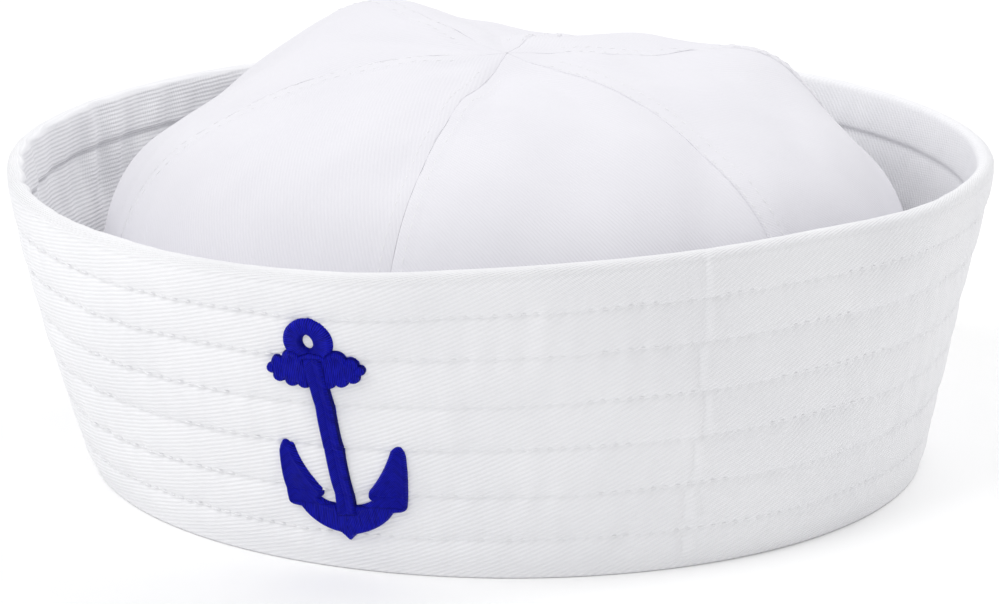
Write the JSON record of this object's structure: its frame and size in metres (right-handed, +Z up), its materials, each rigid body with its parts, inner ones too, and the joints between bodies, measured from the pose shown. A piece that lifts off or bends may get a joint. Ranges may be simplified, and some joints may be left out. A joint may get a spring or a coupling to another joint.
{
  "type": "sailor cap",
  "caption": "White twill sailor cap: a gored round crown inside a quilted brim turned up all round, with a small embroidered anchor on the front.",
  "frame": {"origin": "on the floor under the middle of the whole cap, in the plane of the brim's fold", "axes": "+Z up, -Y to the front of the cap, where the anchor is, +X to the wearer's left"},
  "size_m": [0.2346, 0.2212, 0.1033],
  "materials": {
    "white_twill": "matt bleached cotton twill with fine diagonal ribs",
    "anchor_thread": "glossy royal blue embroidery thread in satin stitch"
  },
  "bodies": {
    "root": {"brim": "white_twill", "crown_gore_1": "white_twill", "crown_gore_2": "white_twill", "crown_gore_3": "white_twill", "crown_gore_4": "white_twill", "crown_gore_5": "white_twill", "crown_gore_6": "white_twill", "anchor_patch": "anchor_thread"}
  },
  "joints": []
}
